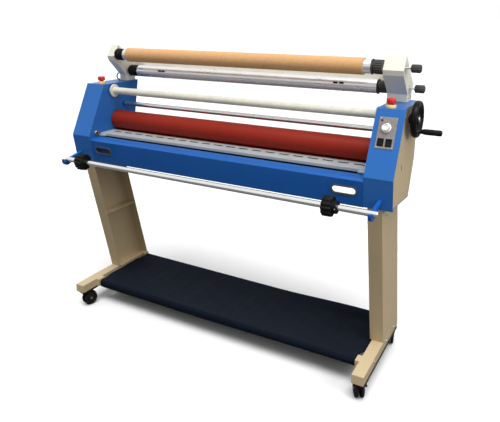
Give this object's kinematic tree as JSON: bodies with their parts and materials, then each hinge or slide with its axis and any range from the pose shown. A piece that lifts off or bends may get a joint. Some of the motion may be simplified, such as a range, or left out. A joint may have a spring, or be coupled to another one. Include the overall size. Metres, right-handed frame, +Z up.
{
  "type": "cold roll laminator",
  "caption": "Wide-format cold roll laminator on a wheeled stand, with nip rollers, take-up tube, supply shafts on raised brackets, a lift handwheel and a sling tray.",
  "frame": {"origin": "middle of the object's footprint at floor level", "axes": "+X along the rollers towards the end with the handwheel and the control panel, +Y from the operator's side towards the back, +Z up"},
  "size_m": [1.791, 0.5738, 1.38],
  "materials": {
    "cover_blue": "light blue gloss paint with a fine texture",
    "apron_blue": "darker blue gloss paint",
    "stand_beige": "beige satin paint",
    "bracket_cream": "cream satin paint",
    "roller_red": "ground silicone rubber, satin",
    "kraft_paper": "kraft board tube, dull",
    "tube_cream": "cream plastic tube",
    "shaft_aluminium": "anodised extrusion, satin",
    "rod_chrome": "polished chrome plate",
    "moulded_black": "black moulded nylon",
    "handwheel_black": "black polished phenolic",
    "caster_black": "black wheel rubber",
    "plate_black": "black satin paint",
    "table_grey": "light grey anodised sheet",
    "panel_grey": "grey brushed plate",
    "dial_silver": "silver anodised knob",
    "stop_red": "red moulded plastic",
    "stop_yellow": "pale yellow moulded plastic",
    "eye_brass": "brass-yellow sensor face",
    "sling_navy": "dark navy woven nylon",
    "cable_grey": "grey-green cable sheath"
  },
  "bodies": {
    "frame": {"cabinet_left": "cover_blue", "cabinet_right": "cover_blue", "side_panel_left": "stand_beige", "side_panel_right": "stand_beige", "control_plate": "panel_grey", "stop_base_left": "stop_yellow", "stop_base_right": "stop_yellow", "photo_eye_left": "eye_brass", "photo_eye_right": "eye_brass", "bracket_left": "bracket_cream", "bracket_right": "bracket_cream", "tie_bar": "bracket_cream", "bracket_cable": "cable_grey", "infeed_table": "table_grey", "apron_beam": "apron_blue", "rear_beam": "apron_blue", "hook_left": "cover_blue", "hook_right": "cover_blue", "leg_left": "stand_beige", "leg_right": "stand_beige", "foot_left": "stand_beige", "foot_right": "stand_beige", "foot_plate_left": "plate_black", "foot_plate_right": "plate_black", "tray_tube_front": "stand_beige", "tray_tube_back": "stand_beige", "tray_sling": "sling_navy"},
    "lift_blocks": {"lift_block_left": "shaft_aluminium", "lift_block_right": "shaft_aluminium"},
    "top_roller": {"top_roller": "roller_red"},
    "bottom_roller": {"bottom_roller": "roller_red"},
    "handwheel": {"handwheel": "handwheel_black"},
    "crank_grip": {"crank_grip": "moulded_black"},
    "upper_supply": {"upper_shaft": "shaft_aluminium", "upper_hub": "moulded_black", "upper_coupling": "moulded_black", "supply_roll": "kraft_paper"},
    "lower_supply": {"lower_shaft": "shaft_aluminium", "lower_hub": "moulded_black", "lower_coupling": "moulded_black"},
    "take_up": {"take_up_tube": "tube_cream"},
    "idler": {"idler_bar": "rod_chrome"},
    "front_rod": {"front_rod": "rod_chrome"},
    "chuck_left": {"chuck_left": "moulded_black"},
    "chuck_right": {"chuck_right": "moulded_black"},
    "tension_knob_upper": {"tension_knob_upper": "moulded_black"},
    "tension_knob_lower": {"tension_knob_lower": "moulded_black"},
    "speed_dial": {"speed_dial": "dial_silver"},
    "power_rocker": {"power_rocker": "handwheel_black"},
    "direction_rocker": {"direction_rocker": "handwheel_black"},
    "stop_button_left": {"stop_button_left": "stop_red"},
    "stop_button_right": {"stop_button_right": "stop_red"},
    "caster_front_left": {"caster_fork_front_left": "moulded_black"},
    "caster_wheel_front_left": {"caster_wheel_front_left": "caster_black"},
    "caster_front_right": {"caster_fork_front_right": "moulded_black"},
    "caster_wheel_front_right": {"caster_wheel_front_right": "caster_black"},
    "caster_back_left": {"caster_fork_back_left": "moulded_black"},
    "caster_wheel_back_left": {"caster_wheel_back_left": "caster_black"},
    "caster_back_right": {"caster_fork_back_right": "moulded_black"},
    "caster_wheel_back_right": {"caster_wheel_back_right": "caster_black"}
  },
  "joints": [
    {"name": "nip_lift", "type": "slide", "parent": "frame", "child": "lift_blocks", "axis": [0, 0, 1], "range_m": [0, 0.025]},
    {"name": "bottom_roller_spin", "type": "hinge", "parent": "frame", "child": "bottom_roller", "pos_m": [-0.0595, 0.054, 0.8934], "axis": [1, 0, 0], "continuous": true},
    {"name": "top_roller_spin", "type": "hinge", "parent": "lift_blocks", "child": "top_roller", "pos_m": [-0.0595, 0.054, 0.992], "axis": [1, 0, 0], "continuous": true},
    {"name": "handwheel_turn", "type": "hinge", "parent": "frame", "child": "handwheel", "pos_m": [0.8015, 0.054, 1.138], "axis": [1, 0, 0], "range_deg": [0, 720]},
    {"name": "crank_grip_spin", "type": "hinge", "parent": "handwheel", "child": "crank_grip", "pos_m": [0.8555, 0.084, 1.084], "axis": [1, 0, 0], "continuous": true},
    {"name": "upper_supply_spin", "type": "hinge", "parent": "frame", "child": "upper_supply", "pos_m": [-0.0595, 0.08901, 1.333], "axis": [1, 0, 0], "continuous": true},
    {"name": "lower_supply_spin", "type": "hinge", "parent": "frame", "child": "lower_supply", "pos_m": [-0.0595, 0.179, 1.2415], "axis": [1, 0, 0], "continuous": true},
    {"name": "take_up_spin", "type": "hinge", "parent": "frame", "child": "take_up", "pos_m": [-0.0595, 0.033, 1.148], "axis": [1, 0, 0], "continuous": true},
    {"name": "idler_spin", "type": "hinge", "parent": "frame", "child": "idler", "pos_m": [-0.0595, 0.118, 1.068], "axis": [1, 0, 0], "continuous": true},
    {"name": "front_rod_spin", "type": "hinge", "parent": "frame", "child": "front_rod", "pos_m": [-0.0595, -0.24599, 0.827], "axis": [1, 0, 0], "continuous": true},
    {"name": "chuck_left_slide", "type": "slide", "parent": "front_rod", "child": "chuck_left", "axis": [1, 0, 0], "range_m": [-0.055, 0.6]},
    {"name": "chuck_right_slide", "type": "slide", "parent": "front_rod", "child": "chuck_right", "axis": [1, 0, 0], "range_m": [-0.55, 0.12]},
    {"name": "tension_knob_upper_turn", "type": "hinge", "parent": "frame", "child": "tension_knob_upper", "pos_m": [0.7755, 0.08901, 1.333], "axis": [1, 0, 0], "range_deg": [-360, 360]},
    {"name": "tension_knob_lower_turn", "type": "hinge", "parent": "frame", "child": "tension_knob_lower", "pos_m": [0.7755, 0.179, 1.2415], "axis": [1, 0, 0], "range_deg": [-360, 360]},
    {"name": "speed_dial_turn", "type": "hinge", "parent": "frame", "child": "speed_dial", "pos_m": [0.714, -0.06588, 1.11462], "axis": [0, -0.8908, 0.4543], "range_deg": [-135, 135]},
    {"name": "power_rocker_tilt", "type": "hinge", "parent": "frame", "child": "power_rocker", "pos_m": [0.7005, -0.09223, 1.06295], "axis": [1, 0, 0], "range_deg": [0, 16]},
    {"name": "direction_rocker_tilt", "type": "hinge", "parent": "frame", "child": "direction_rocker", "pos_m": [0.7325, -0.09223, 1.06295], "axis": [1, 0, 0], "range_deg": [0, 16]},
    {"name": "stop_press_left", "type": "slide", "parent": "frame", "child": "stop_button_left", "axis": [0, 0, -1], "range_m": [0, 0.004]},
    {"name": "stop_press_right", "type": "slide", "parent": "frame", "child": "stop_button_right", "axis": [0, 0, -1], "range_m": [0, 0.004]},
    {"name": "caster_swivel_front_left", "type": "hinge", "parent": "frame", "child": "caster_front_left", "pos_m": [-0.83, -0.21599, 0.06], "axis": [0, 0, 1], "continuous": true},
    {"name": "caster_roll_front_left", "type": "hinge", "parent": "caster_front_left", "child": "caster_wheel_front_left", "pos_m": [-0.82505, -0.19456, 0.0375], "axis": [0.9744, -0.225, 0], "continuous": true},
    {"name": "caster_swivel_front_right", "type": "hinge", "parent": "frame", "child": "caster_front_right", "pos_m": [0.711, -0.21599, 0.06], "axis": [0, 0, 1], "continuous": true},
    {"name": "caster_roll_front_right", "type": "hinge", "parent": "caster_front_right", "child": "caster_wheel_front_right", "pos_m": [0.70033, -0.19675, 0.0375], "axis": [0.8746, 0.4848, 0], "continuous": true},
    {"name": "caster_swivel_back_left", "type": "hinge", "parent": "frame", "child": "caster_back_left", "pos_m": [-0.83, 0.22601, 0.06], "axis": [0, 0, 1], "continuous": true},
    {"name": "caster_roll_back_left", "type": "hinge", "parent": "caster_back_left", "child": "caster_wheel_back_left", "pos_m": [-0.83154, 0.24795, 0.0375], "axis": [0.9976, 0.0698, 0], "continuous": true},
    {"name": "caster_swivel_back_right", "type": "hinge", "parent": "frame", "child": "caster_back_right", "pos_m": [0.711, 0.22601, 0.06], "axis": [0, 0, 1], "continuous": true},
    {"name": "caster_roll_back_right", "type": "hinge", "parent": "caster_back_right", "child": "caster_wheel_back_right", "pos_m": [0.70643, 0.24752, 0.0375], "axis": [0.9781, 0.2079, 0], "continuous": true}
  ],
  "couplings": [
    {"joint": "top_roller_spin", "follows": "bottom_roller_spin", "ratio": -1},
    {"joint": "handwheel_turn", "follows": "nip_lift", "rad_per_m": 502.65}
  ]
}
